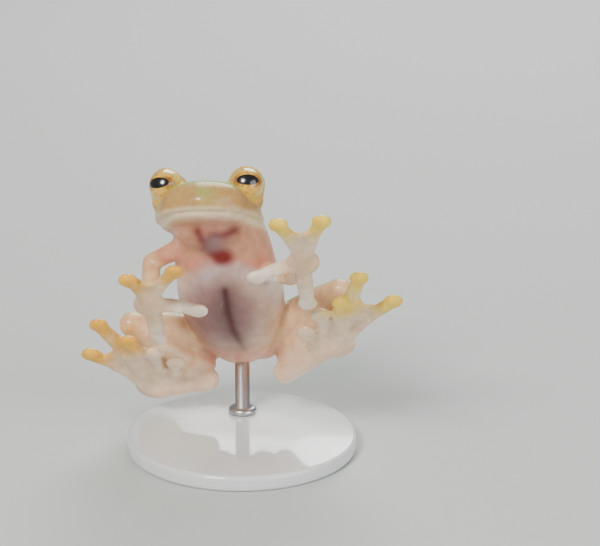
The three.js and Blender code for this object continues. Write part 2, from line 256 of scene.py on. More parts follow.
# %% Shapes of the trunk and head
def head_section(turn):
    """A squarish oval: cosine and sine to a power below 1, flatter below, wider in a band at the lips."""
    x, y = (np.sign(v) * np.abs(v) ** SQUARENESS for v in oval(turn))
    lip = LIP["swell"] * np.exp(-(((y + LIP["below"]) / LIP["width"]) ** 2)) * np.abs(x)
    return x + np.sign(x) * lip, np.where(y < 0, y * UNDERSIDE, y)


def trunk():
    return loft(at(TRUNK_LINE), TRUNK_WIDE, TRUNK_DEEP, TRUNK_CAPS, OFF, BODY_SIDES, BODY_STEPS)


def head():
    backs = np.array(HEAD_STATIONS)
    rises = HEAD_RISE * backs * (1 - backs / HEAD_LENGTH)
    line = [on_head(back, 0, rise) for back, rise in zip(backs, rises)]
    return loft(line, HEAD_WIDE, HEAD_HIGH, HEAD_CAPS, CROWN, BODY_SIDES, BODY_STEPS, head_section)


# %% Brow, cheek and lids
BROW_RADIUS = 1.42
BROW_BEHIND = 0.72
BROW_SLANT = (0.25, 0.35)
CHEEK = {"radius": 0.95, "back": 4.2, "across": 3.1, "up": 0.85}
LID_RADIUS = 1.24
LID_THICK = 0.13
LID_AHEAD = 0.05
LID_SLANT = 0.25
GAZE_SLANTS = {1: (0.18, 0.05), -1: (-0.40, -0.02)}
GAZES = {side: unit(FORWARD + left * HEAD_LEFT + up * CROWN) for side, (left, up) in GAZE_SLANTS.items()}
print("the left eye looks along", GAZES[1].round(2))


def ring(centre, axis, radius, thick, count=48, sides=12):
    """A round ring: a small circle carried round a large one about the axis."""
    level = unit(np.cross(CROWN, axis))
    rise = np.cross(axis, level)
    turn, small = circle(count)[:, None], circle(sides)[None, :]
    reach = radius + thick * np.cos(small)
    points = centre + (reach * np.cos(turn))[..., None] * level + (reach * np.sin(turn))[..., None] * rise
    points = points + (thick * np.sin(small) * np.ones_like(turn))[..., None] * axis
    return outward(points.reshape(-1, 3), [band(count, count, sides)])


def brow(side):
    """The bulge behind an eye: a ball a little larger than it, set back, inward and down."""
    outward_way = unit(FORWARD + BROW_SLANT[0] * side * HEAD_LEFT + BROW_SLANT[1] * CROWN)
    return ball(eye_centre(side) - BROW_BEHIND * outward_way, (BROW_RADIUS,) * 3)


def cheek(side):
    """A soft fill between the eye and the corner of the mouth."""
    return ball(on_head(CHEEK["back"], side * CHEEK["across"], CHEEK["up"]), (CHEEK["radius"],) * 3)


def lids(side):
    """Both lids of an eye: a ring a little ahead of its middle, tipped down from the gaze."""
    gaze = GAZES[side]
    slant = unit(gaze - LID_SLANT * CROWN)
    return ring(eye_centre(side) + LID_AHEAD * gaze, slant, LID_RADIUS, LID_THICK)


# %% [markdown]
# ## Limbs, hands and feet
#
# Each limb is a tube from joint to joint. A hand has four digits and a foot five. Every digit arches
# over the pane and ends in a round flat disc, which is what lets the frog hold on to smooth leaves. A
# thin web joins the longer ones, and a fold of skin fills the angle between shank and foot.

# %% Where the joints are
ARMS = {
    "left": {
        "shoulder": (0.9, -2.1, 5.0),
        "elbow": (3.7, 0.3, 3.0),
        "wrist": (4.45, 4.3, 1.75),
        "palm": (4.55, 6.5, 0.62),
    },
    "right": {
        "shoulder": (-3.6, 0.4, 5.8),
        "elbow": (-6.55, -1.4, 5.2),
        "wrist": (-6.5, -1.3, 2.1),
        "palm": (-6.5, 0.5, 0.62),
    },
}
LEGS = {
    "left": {
        "hip": (1.5, -10.8, 3.7),
        "knee": (7.3, -2.7, 3.6),
        "heel": (3.2, -10.4, 1.0),
        "sole": (6.6, -5.6, 0.7),
    },
    "right": {
        "hip": (-1.7, -10.9, 3.9),
        "knee": (-8.2, -6.4, 2.8),
        "heel": (-2.6, -11.5, 0.95),
        "sole": (-6.2, -11.9, 0.7),
    },
}
print("the frog has joints for", len(ARMS), "arms and", len(LEGS), "legs")

# %% Where the digits end
FINGER_TIPS = {
    "left": [(4.85, 1.0), (1.2, 4.7), (2.8, 12.0), (5.8, 12.4)],
    "right": [(-6.1, -4.3), (-3.0, -0.1), (-4.6, 5.5), (-7.9, 4.3)],
}
TOE_TIPS = {
    "left": [(4.7, -3.4), (5.8, -0.7), (7.3, 1.0), (8.5, 4.6), (11.0, 1.3)],
    "right": [(-4.9, -7.9), (-6.5, -6.5), (-8.2, -4.7), (-10.3, -2.2), (-11.1, -6.6)],
}
print("each hand has", len(FINGER_TIPS["left"]), "fingers, each foot", len(TOE_TIPS["left"]), "toes")

# %% How thick the limbs and digits are
UPPER_ARM_RADII = [0.95, 0.72, 0.62]
FOREARM_RADII = [0.6, 0.7, 0.56]
WRIST_RADII = [0.5, 0.6, 0.6]
THIGH_RADII = [1.25, 1.4, 1.15, 0.85]
SHANK_RADII = [0.85, 0.95, 0.85, 0.65]
TARSUS_RADII = [0.9, 0.9, 1.05]
FINGER_WEBS = [0.25, 0.3, 0.84]
FINGER_GIRTHS = [1.3, 1.0, 1.0, 1.05]
FINGER_SPREAD = 0.55
TOE_WEBS = [0.7, 0.8, 0.84, 0.84]
TOE_GIRTHS = [1.0, 1.0, 1.1, 1.25, 1.0]
TOE_SPREAD = 0.5
THIGH_BOW = 0.35
SHANK_BOW = -0.5
ANKLE_LIFT = 1.3
ANKLE_FOLD = {"radius": 0.75, "on_shank": 0.3, "on_tarsus": 0.4, "drop": 0.2}
PALM_SIZE = (1.2, 1.5, 0.62)
SOLE_SIZE = (1.85, 1.9, 0.66)
LIMB_SIDES = 28
LIMB_STEPS = 36
DIGIT_SIDES = 20
DIGIT_RADIUS = 0.48
DIGIT_ROOT = 1.25
DIGIT_CAP = 0.4
DIGIT_ARCH = 0.25
DISC_SIZE = (0.74, 0.74, 0.38)
DISC_OFF = 0.4
PAD = {"radius": 0.3, "sink": 0.16, "along": 0.1}
WEB_HALF = 0.19
WEB_DIP = 0.18
WEB_START = 0.05
WEB_STEPS = 24
WEB_SIDES = 18
print("the discs are", 2 * DISC_SIZE[0], "mm across, on digits", 2 * DIGIT_RADIUS, "mm thick")


# %% A limb from joint to joint
def limb(joints, radii):
    """A tube through its joints, longer at each end by its radius there, so a ball sits on the joint."""
    line = at(joints)
    line[0] += radii[0] * unit(line[0] - line[1])
    line[-1] += radii[-1] * unit(line[-1] - line[-2])
    return loft(line, radii, radii, (radii[0], radii[-1]), OFF, LIMB_SIDES, LIMB_STEPS)


def bowed(a, b, lift):
    """The place half way between two joints, lifted off the straight line between them."""
    return tuple((np.array(a) + np.array(b)) / 2 + np.array([0, 0, lift]))


def ankle_fold(leg, ankle):
    """The skin between a shank and its tarsus: a ball half way between a place on each."""
    knee, heel, sole = (np.array(leg[name]) for name in ("knee", "heel", "sole"))
    on_shank = np.array(ankle) + ANKLE_FOLD["on_shank"] * (knee - ankle)
    on_tarsus = heel + ANKLE_FOLD["on_tarsus"] * (sole - heel)
    middle = (on_shank + on_tarsus) / 2 - np.array([0, 0, ANKLE_FOLD["drop"]])
    return ball(at(middle), (ANKLE_FOLD["radius"],) * 3)


# %% Digits, discs and webs
def digit_line(root, tip):
    """A digit's three joints on the pane: its root, a raised middle and the centre of its disc."""
    start, end = np.array(root), np.array([*tip, DISC_OFF])
    return np.array([start, (start + end) / 2 + np.array([0, 0, DIGIT_ARCH]), end])


def digit(root, tip, girth):
    """A digit's tube, its disc, and the round pad under its middle joint."""
    radii = [share * DIGIT_RADIUS for share in (DIGIT_ROOT, girth, 1.0)]
    line = digit_line(root, tip)
    tube = loft(at(line), radii, radii, (DIGIT_CAP, DIGIT_CAP), OFF, DIGIT_SIDES, LIMB_STEPS)
    pad = line[1] * (1 - PAD["along"]) + line[2] * PAD["along"] - np.array([0, 0, radii[1] - PAD["sink"]])
    return [tube, ball(at((*tip, DISC_OFF)), DISC_SIZE), ball(at(pad), (PAD["radius"],) * 3)]


def web(root, tip_a, tip_b, reach):
    """A thin sheet between two digits: a fan from the root whose far edge dips back as a parabola."""
    along = np.linspace(WEB_START, 1, WEB_STEPS)[:, None]
    across = np.linspace(0, 1, WEB_SIDES)[None, :]
    share = np.linspace(0, reach, WEB_STEPS)
    far_a, far_b = (smooth(digit_line(root, tip), share) for tip in (tip_a, tip_b))
    dip = 1 - WEB_DIP * 4 * across * (1 - across)
    sheet = far_a[:, None, :] * (1 - across)[..., None] + far_b[:, None, :] * across[..., None]
    sheet = np.array(root) + (sheet - np.array(root)) * (dip * np.ones_like(along))[..., None]
    half = np.array([0, 0, WEB_HALF])
    rings = np.concatenate([sheet - half, (sheet + half)[:, ::-1]], axis=1)
    return closed_rings(at(rings), at(np.array([rings[0].mean(axis=0), rings[-1].mean(axis=0)])))


# %% Hands, feet and whole limbs
def digit_roots(root, tips, spread):
    """Where each digit leaves a pad: evenly spaced in the direction from the first tip to the last."""
    way = np.array([*tips[-1], 0.0]) - np.array([*tips[0], 0.0])
    way *= spread / np.linalg.norm(way)
    middle = (len(tips) - 1) / 2
    return [np.array(root) + way * (i - middle) for i in range(len(tips))]


def paw(root, size, joint, stalk, tips, webs, girths, spread):
    """A hand or foot: an oval pad, a stalk up to the joint above it, its digits and its webs."""
    pieces = [ball(at(root), size), limb([joint, root], stalk)]
    roots = digit_roots(root, tips, spread)
    for digit_root, tip, girth in zip(roots, tips, girths):
        pieces += digit(digit_root, tip, girth)
    for reach, tip_a, tip_b in zip(webs, tips, tips[1:]):
        pieces.append(web(root, tip_a, tip_b, reach))
    return pieces


def limbs(side):
    """One arm and one leg: upper arm, forearm, thigh, shank, the fold at the ankle, hand and foot."""
    arm, leg = ARMS[side], LEGS[side]
    ankle = (*leg["heel"][:2], leg["heel"][2] + ANKLE_LIFT)
    pieces = [
        limb([arm["shoulder"], arm["elbow"]], UPPER_ARM_RADII),
        limb([arm["elbow"], arm["wrist"]], FOREARM_RADII),
        limb([leg["hip"], bowed(leg["hip"], leg["knee"], THIGH_BOW), leg["knee"]], THIGH_RADII),
        limb([leg["knee"], bowed(leg["knee"], ankle, SHANK_BOW), ankle], SHANK_RADII),
        ankle_fold(leg, ankle),
    ]
    fingers = (FINGER_TIPS[side], FINGER_WEBS, FINGER_GIRTHS, FINGER_SPREAD)
    toes = (TOE_TIPS[side], TOE_WEBS, TOE_GIRTHS, TOE_SPREAD)
    pieces += paw(arm["palm"], PALM_SIZE, arm["wrist"], WRIST_RADII, *fingers)
    pieces += paw(leg["sole"], SOLE_SIZE, leg["heel"], TARSUS_RADII, *toes)
    return pieces


# %% [markdown]
# ## One skin
#
# The overlapping bodies are joined and a voxel remesh turns them into one closed surface. It works on
# the mesh while it is still in millimetres, because its grid is a fixed length. A few rounds of
# smoothing then blend each joint into the next, as skin does, and many more take out the fold where the
# throat meets the chest.

# %% From arrays to meshes and back
def mesh_of(name, pieces, scale=MM):
    """One mesh from several closed surfaces, moved to the frame and scaled to metres."""
    points, faces, start = [], [], 0
    for piece_points, groups in pieces:
        points.append(piece_points)
        for group in groups:
            faces += (group + start).tolist()
        start += len(piece_points)
    mesh = bpy.data.meshes.new(name)
    mesh.from_pydata((np.concatenate(points) + SHIFT) * scale, [], faces)
    mesh.update()
    return mesh


def add_piece(name, mesh, smooth_faces=True):
    """An object at the origin that shows a mesh."""
    mesh.shade_smooth() if smooth_faces else mesh.shade_flat()
    piece = bpy.data.objects.new(name, mesh)
    bpy.context.scene.collection.objects.link(piece)
    return piece


def finished(piece):
    """The piece's mesh with all its modifiers applied."""
    shown = piece.evaluated_get(bpy.context.evaluated_depsgraph_get())
    mesh = bpy.data.meshes.new_from_object(shown)
    piece.modifiers.clear()
    piece.data = mesh
    return mesh


def triples(items, key):
    """A value of three numbers of each item, as one array of rows."""
    values = np.empty(len(items) * 3, np.float32)
    items.foreach_get(key, values)
    return values.reshape(-1, 3).astype(float)


def keep_values(mesh, name, values):
    """One number at each point of a mesh, kept for its material under a name."""
    attribute = mesh.attributes.new(name, "FLOAT", "POINT")
    attribute.data.foreach_set("value", values.astype(np.float32))


# %% Join, remesh and smooth
VOXEL = 0.125
SMOOTH_SHARE = 0.5
SMOOTHING = 7
FOLD_PLACE = (-2.6, 1.0, 4.9)
FOLD_REACH = 3.2
FOLD_ROUNDS = 75
FOLD_LEVELS = 8


def soften(piece, centre, reach, rounds):
    """More rounds of smoothing near a place: full up to half the reach, and fading out over the rest."""
    far = distance(triples(piece.data.vertices, "co") - SHIFT, centre)
    group = piece.vertex_groups.new(name="soft")
    levels = np.round(FOLD_LEVELS * np.clip(2 - 2 * far / reach, 0, 1)).astype(int)
    for level in range(1, FOLD_LEVELS + 1):
        group.add(np.flatnonzero(levels == level).tolist(), level / FOLD_LEVELS, "REPLACE")
    fold = piece.modifiers.new("fold", "SMOOTH")
    fold.factor, fold.iterations, fold.vertex_group = SMOOTH_SHARE, rounds, group.name
    finished(piece)


flesh = [trunk(), head(), ball(at(THROAT_PLACE), THROAT_SIZE, count=THROAT_SIDES)]
for side in (1, -1):
    flesh += [brow(side), cheek(side), lids(side)]
for side in ("left", "right"):
    flesh += limbs(side)
skin = add_piece("skin", mesh_of("skin", flesh, scale=1.0))
remesh = skin.modifiers.new("voxels", "REMESH")
remesh.mode = "VOXEL"
remesh.voxel_size = VOXEL
blend_joints = skin.modifiers.new("blend", "SMOOTH")
blend_joints.factor = SMOOTH_SHARE
blend_joints.iterations = SMOOTHING
finished(skin)
soften(skin, at(FOLD_PLACE), FOLD_REACH, FOLD_ROUNDS)
print("the skin has", len(skin.data.vertices), "points")

# %% [markdown]
# ## Mouth and nostrils
#
# The line of the mouth and the nostrils are finer than the joins, so they are pressed into the smooth
# skin afterwards. Each point moves inward by a smooth bell of its distance from the line of the mouth
# or from a nostril.

# %% Places and steps on the head
MOUTH_DROP = 0.8
MOUTH_RISE = 0.05
MOUTH_LENGTH = 6.2
MOUTH_WIDTH = 0.13
MOUTH_DEEP = 0.13
MOUTH_FADE = 0.4
MOUTH_START = (-1, -0.5)
UPPER_LIP = {"out": 0.05, "above": 0.32, "width": 0.18}
NOSTRIL = {"width": 0.221, "back": 0.32, "across": 0.72, "up": 0.62, "deep": 0.16}


def head_places(points):
    """Each point's place on the head: back from the snout, across, and up."""
    from_snout = points - at(SNOUT)
    return -from_snout @ FORWARD, from_snout @ HEAD_LEFT, from_snout @ CROWN


def bell(far, width):
    """A smooth bell: e to the power of minus the square of the distance over the width."""
    return np.exp(-((far / width) ** 2))


def step(low, high, values):
    """A smooth step from 0 at low to 1 at high: three t squared less two t cubed."""
    t = np.clip((values - low) / (high - low), 0, 1)
    return t * t * (3 - 2 * t)


def mouth_height(back):
    """How far up the line of the mouth lies: it rises a little toward its corners."""
    return -MOUTH_DROP + MOUTH_RISE * np.clip(back, 0, MOUTH_LENGTH)


# %% Press the mouth and the nostrils
def press_face(points, outward_way):
    """Points moved in along their normals at the mouth and nostrils, and out along the upper lip."""
    back, _, up = head_places(points)
    above_mouth = up - mouth_height(back)
    front = step(MOUTH_LENGTH + MOUTH_FADE, MOUTH_LENGTH - MOUTH_FADE, back) * step(*MOUTH_START, back)
    depth = MOUTH_DEEP * bell(above_mouth, MOUTH_WIDTH) * front
    depth -= UPPER_LIP["out"] * bell(above_mouth - UPPER_LIP["above"], UPPER_LIP["width"]) * front
    for side in (1, -1):
        nostril = on_head(NOSTRIL["back"], side * NOSTRIL["across"], NOSTRIL["up"])
        depth += NOSTRIL["deep"] * bell(distance(points, nostril), NOSTRIL["width"])
    return points - outward_way * depth[:, None]


points = triples(skin.data.vertices, "co") - SHIFT
points = press_face(points, triples(skin.data.vertex_normals, "vector"))
print("the mouth is pressed", MOUTH_DEEP, "mm into the skin")

# %% [markdown]
# ## Colour by place
#
# The belly skin of a glass frog is clear, so what shows below is the body inside it: the red heart and
# the vessels that meet over it, the pale lining round the gut and the dark gut itself. Above, the skin
# is green. Each mark is a smooth function of the place on the frog, kept as a colour on the points of
# the mesh. No image is used.
#
# Marks on the belly are placed by two numbers, across and up, where up is half of ahead and 0.866 of
# off. A viewer in front of the belly sees it so, and a mark's width and height are given as they look.
# A pair of numbers with a mark says where it starts to show and where it is full.

# %% Paint helpers
def tone(red, green, blue):
    """A colour from its 0 to 255 values, in the linear values that a shader uses."""
    values = np.array([red, green, blue]) / 255
    return np.where(values <= 0.04045, values / 12.92, ((values + 0.055) / 1.055) ** 2.4)


def over(paint, colour, mask):
    """Paint mixed toward a colour by a mask."""
    return paint + (np.asarray(colour) - paint) * np.clip(mask, 0, 1)[:, None]


def near_line(places, line):
    """The distance from each place to the nearest of the straight spans of a line."""
    best = np.full(len(places), np.inf)
    for a, b in zip(line, line[1:]):
        a, b = np.array(a, float), np.array(b, float)
        t = np.clip((places - a) @ (b - a) / np.dot(b - a, b - a), 0, 1)
        best = np.minimum(best, np.linalg.norm(places - a - t[:, None] * (b - a), axis=1))
    return best


def on_pane(points):
    """Each point's across, ahead and off."""
    return points @ ACROSS, points @ AHEAD, points @ OFF


print("pure red is", tone(255, 0, 0), "in a shader's values")

# %% Colours
CHEST = tone(216, 140, 114)
BLOOD = tone(124, 14, 16)
VESSEL = tone(112, 24, 34)
VEIL = tone(170, 96, 88)
LUNG = tone(146, 112, 120)
LINING = tone(212, 194, 200)
MILKY = tone(236, 228, 222)
GUT = tone(70, 42, 44)
GUT_EDGE = tone(158, 116, 120)
VENT = tone(222, 152, 124)
THIGH = tone(230, 190, 150)
CREAM = tone(230, 206, 178)
PALM = tone(230, 196, 160)
HEEL_PINK = tone(226, 166, 146)
YELLOW = tone(236, 180, 56)
LEMON = tone(240, 208, 74)
SNOUT_TAN = tone(188, 150, 90)
SNOUT_GREEN = tone(150, 160, 84)
ARM = tone(222, 180, 136)
PAW_TOP = tone(226, 196, 110)
BROW_TAN = tone(206, 144, 84)
LIP_PALE = tone(230, 212, 180)
THROAT = tone(208, 158, 130)
GREEN = tone(150, 190, 84)
LID_GOLD = tone(226, 178, 66)
DARK_BLOOD = BLOOD * 0.3
print("the chest is", CHEST.round(2), "there")

# %% How far a colour covers what is under it
COVER = {"chest": 0.95, "vent": 0.85, "lining": 0.85, "gut_edge": 0.9, "gut": 0.6, "veil": 0.6}
COVER |= {"vessel": 0.85, "lung": 0.95, "shade": 0.5, "vein": 0.9, "throat": 0.7, "brow": 0.75}
COVER |= {"snout": 0.7, "arm": 0.9, "heel": 0.3, "finger": 0.7, "paw_top": 0.8, "bare_paw": 0.92}
print(len(COVER), "colours let some of it show")

# %% Marks seen through the belly
HEART = (-1.2, 4.15)
HEART_SHAPE = (0.8, 1.05)
HEART_FADE = (0.98, 0.2)
LUNG_PLACE = (-1.85, 5.15)
LUNG_HALF = 0.6
VEIL_PLACE = (-1.75, 4.9)
VEIL_HALF = 1.25
VESSEL_HALF = 0.42
VESSELS = [[(-3.0, 6.0), (-2.5, 4.9), (-1.6, 4.2)], [(-0.35, 6.1), (-1.1, 5.7), (-2.0, 5.6)]]
BELLY = (-0.55, 0.1)
GUT_PLACE = (-1.5, -0.1)
GUT_SHAPE = (0.85, 1.0)
GUT_RADIUS = 3.1
GUT_EDGE_FADE = (4.1, 1.5)
LINING_RADIUS = 3.3
LINING_HALF = 0.85
LINING_RISE = (-0.6, 1.6)
LINING_END = (4.3, 3.1)
LINING_SLANT = 0.35
VEIN_HALF = 0.27
VEIN_SHADE = 0.8
VEIN_FADE = (-3.6, -1.2)
VEIN = [(-1.15, 1.7), (-0.95, 0.2), (-0.6, -1.2), (0.15, -2.6)]
FLANK_PATCH = (2.6, 2.1)
PATCH_RADIUS = 0.75
CHEST_RISE = (2.2, 3.6)
VENT_FALL = (-1.9, -3.2)
print("the gut shows through the belly as a patch", 2 * GUT_RADIUS, "mm across")


# %% Colours of the trunk
def body_paint(seen):
    """Cream, with a pink chest above and a warm vent below."""
    paint = np.tile(CREAM, (len(seen), 1))
    paint = over(paint, CHEST, step(*CHEST_RISE, seen[:, 1]) * COVER["chest"])
    return over(paint, VENT, step(*VENT_FALL, seen[:, 1]) * COVER["vent"])


def organ_paint(paint, seen, below):
    """Lining, gut, veil, vessels, lung, heart, vein and milky patch, over each other in that order."""
    height = seen[:, 1]
    from_belly = distance(seen, BELLY)
    from_gut = distance((seen - GUT_PLACE) * GUT_SHAPE, (0, 0))
    arc = bell(from_belly - LINING_RADIUS, LINING_HALF) * step(*LINING_RISE, height)
    arc = arc * step(*LINING_END, height + LINING_SLANT * seen[:, 0])
    paint = over(paint, LINING, arc * COVER["lining"] * below)
    paint = over(paint, GUT_EDGE, step(*GUT_EDGE_FADE, from_gut) * COVER["gut_edge"] * below)
    paint = over(paint, GUT, step(GUT_RADIUS, 0.0, from_gut) * COVER["gut"] * below)
    paint = over(paint, VEIL, bell(distance(seen, VEIL_PLACE), VEIL_HALF) * COVER["veil"] * below)
    for line in VESSELS:
        paint = over(paint, VESSEL, bell(near_line(seen, line), VESSEL_HALF) * COVER["vessel"] * below)
    paint = over(paint, LUNG, bell(distance(seen, LUNG_PLACE), LUNG_HALF) * COVER["lung"] * below)
    from_heart = distance((seen - HEART) * HEART_SHAPE, (0, 0))
    paint = over(paint, BLOOD, step(*HEART_FADE, from_heart) * below)
    from_vein = near_line(seen, VEIN)
    fade = step(*VEIN_FADE, height) * below
    paint = over(paint, GUT, bell(from_vein, VEIN_SHADE) * COVER["shade"] * fade)
    paint = over(paint, DARK_BLOOD, bell(from_vein, VEIN_HALF) * COVER["vein"] * fade)
    return over(paint, MILKY, bell(distance(seen, FLANK_PATCH), PATCH_RADIUS))


# %% Colours of the face
FACE_BACK = (7.6, 6.2)
FACE_UP = (-3.2, -2.6)
THROAT_EDGE = (-0.2, -0.5)
LIP_EDGE = (-0.5, -0.15)
SNOUT_EDGE = (0.1, 0.55)
SNOUT_SPOT = {"across": 0.2, "up": 0.6, "half": 0.8, "back": (3.2, 1.6)}
BROW_BAND = {"across": 2.0, "up": 1.75, "half": 0.5}
LID_FADE = (1.75, 1.4)


def face_paint(paint, points):
    """The head from the throat up: pink throat, pale lips, tan snout and brow, and gold lids."""
    back, across, up = head_places(points)
    on = step(*FACE_BACK, back) * step(*FACE_UP, up)
    above_mouth = up - mouth_height(back)
    paint = over(paint, THROAT, on * step(*THROAT_EDGE, above_mouth) * COVER["throat"])
    paint = over(paint, LIP_PALE, on * step(*LIP_EDGE, above_mouth))
    paint = over(paint, SNOUT_TAN, on * step(*SNOUT_EDGE, above_mouth))
    spot = bell(np.hypot(across - SNOUT_SPOT["across"], up - SNOUT_SPOT["up"]), SNOUT_SPOT["half"])
    spot = on * spot * step(*SNOUT_SPOT["back"], back)
    paint = over(paint, SNOUT_GREEN, spot * COVER["snout"])
    band = bell(across, BROW_BAND["across"]) * bell(up - BROW_BAND["up"], BROW_BAND["half"])
    paint = over(paint, BROW_TAN, on * band * COVER["brow"])
    for side in (1, -1):
        paint = over(paint, LID_GOLD, step(*LID_FADE, distance(points, eye_centre(side))))
    return paint


# %% Where the limbs' colours reach
LEG_FADE = (2.0, 1.2)
OFF_TRUNK = (2.4, 3.6)
ARM_FADE = (1.3, 0.9)
PAW_FADE = (1.9, 1.1)
PAW_OFF = (2.2, 1.5)
PALM_FADE = (2.4, 1.2)
HEEL_HALF = 1.2
INNER_FINGER_FADE = (3.4, 0.6)
TIP_FADE = (2.9, 0.6)
LEMON_SIDE = (-1.0, 2.0)
PAW_TOP_FADE = (1.9, 1.0)
PAW_TOP_OFF = (2.4, 1.6)
UNDERSIDE_TURN = (0.35, -0.25)
BACK_TURN = (0.3, 0.9)
UP_AHEAD = 0.5
UP_OFF = 0.866


def reach_of(points, lines):
    """How far each point is from the nearest of several lines of joints."""
    return np.min([near_line(points, at(line)) for line in lines], axis=0)


def limb_lines(side):
    """The lines of joints of one leg, one forearm, and the digits and tarsus of one side."""
    arm, leg = ARMS[side], LEGS[side]
    tarsus = [leg["heel"], leg["sole"]]
    legs = [[leg["hip"], leg["knee"]], [leg["knee"], leg["heel"]]]
    fingers = [[arm["palm"], (*tip, DISC_OFF)] for tip in FINGER_TIPS[side]]
    toes = [[leg["sole"], (*tip, DISC_OFF)] for tip in TOE_TIPS[side]]
    return legs, [[arm["elbow"], arm["wrist"]]], [*fingers, *toes, tarsus]


print("paws are painted along", len(limb_lines("left")[2]), "lines a side")


# %% Colours of the limbs
def paw_paint(paint, points, side):
    """Peach palm, pink heel and pale inner fingers of one side."""
    arm, leg = ARMS[side], LEGS[side]
    paint = over(paint, PALM, step(*PALM_FADE, distance(points, at(arm["palm"]))))
    from_sole = near_line(points, at([leg["heel"], leg["sole"]]))
    paint = over(paint, HEEL_PINK, bell(from_sole, HEEL_HALF) * COVER["heel"])
    for tip in FINGER_TIPS[side][:2]:
        from_tip = distance(points, at((*tip, DISC_OFF)))
        paint = over(paint, MILKY, step(*INNER_FINGER_FADE, from_tip) * COVER["finger"])
    return paint


def tip_paint(paint, points, across):
    """Yellow on the outer fingers and toes, lemon on the frog's left."""
    tips = [tip for side in ("left", "right") for tip in FINGER_TIPS[side][2:] + TOE_TIPS[side][2:]]
    far = np.min([distance(points, at((*tip, DISC_OFF))) for tip in tips], axis=0)
    yellow = over(np.tile(YELLOW, (len(points), 1)), LEMON, step(*LEMON_SIDE, across))
    return over(paint, yellow, step(*TIP_FADE, far))


def paint_skin(points, outward_way):
    """The colour below and on the sides, and the share of the back's green, at each point."""
    across, ahead, off = on_pane(points)
    below = step(*UNDERSIDE_TURN, outward_way @ OFF)
    above = step(*BACK_TURN, outward_way @ OFF)
    seen = np.stack([across, UP_AHEAD * ahead + UP_OFF * off], axis=1)
    paint = organ_paint(face_paint(body_paint(seen), points), seen, below)
    legs, arms, paws = (a + b for a, b in zip(limb_lines("left"), limb_lines("right")))
    from_trunk, from_paws = near_line(points, at(TRUNK_LINE)), reach_of(points, paws)
    paint = over(paint, THIGH, step(*LEG_FADE, reach_of(points, legs)) * step(*OFF_TRUNK, from_trunk))
    paint = over(paint, ARM, step(*ARM_FADE, reach_of(points, arms)) * COVER["arm"])
    paint = over(paint, CREAM, step(*PAW_FADE, from_paws) * step(*PAW_OFF, off))
    for side in ("left", "right"):
        paint = paw_paint(paint, points, side)
    paint = tip_paint(paint, points, across)
    on_paw = step(*PAW_TOP_FADE, from_paws) * step(*PAW_TOP_OFF, off)
    paint = over(paint, PAW_TOP, above * on_paw * COVER["paw_top"])
    return paint, above * (1 - COVER["bare_paw"] * on_paw)


# %% Paint the skin
paint, above = paint_skin(points, triples(skin.data.vertex_normals, "vector"))
skin.data.vertices.foreach_set("co", ((points + SHIFT) * MM).astype(np.float32).ravel())
skin.data.update()
tint = skin.data.attributes.new("tint", "FLOAT_COLOR", "POINT")
tint.data.foreach_set("color", np.column_stack([paint, np.ones(len(paint))]).astype(np.float32).ravel())
keep_values(skin.data, "above", above)
skin.data.shade_smooth()
print("painted", len(paint), "points, of which", int((above > 0.5).sum()), "on the back")

# %% [markdown]
# ## Shader maths in Python
#
# A small class wraps a socket, so that a pattern can be written as a plain expression. Adding or
# multiplying two of them makes the Math node that does it. Every other node comes from one method.


# %% The node writer
class Value:
    """A number that a node tree works out, with Python's operators."""

    def __init__(self, shader, socket):
        self.shader, self.socket = shader, socket

    def maths(self, operation, *others):
        return self.shader.node("ShaderNodeMath", {"operation": operation}, *others)

    def __add__(self, other):
        return self.maths("ADD", self, other)

    def __sub__(self, other):
        return self.maths("SUBTRACT", self, other)

    def __rsub__(self, other):
        return self.maths("SUBTRACT", other, self)

    def __mul__(self, other):
        return self.maths("MULTIPLY", self, other)

    def __truediv__(self, other):
        return self.maths("DIVIDE", self, other)

    def __pow__(self, other):
        return self.maths("POWER", self, other)

    __radd__, __rmul__ = __add__, __mul__


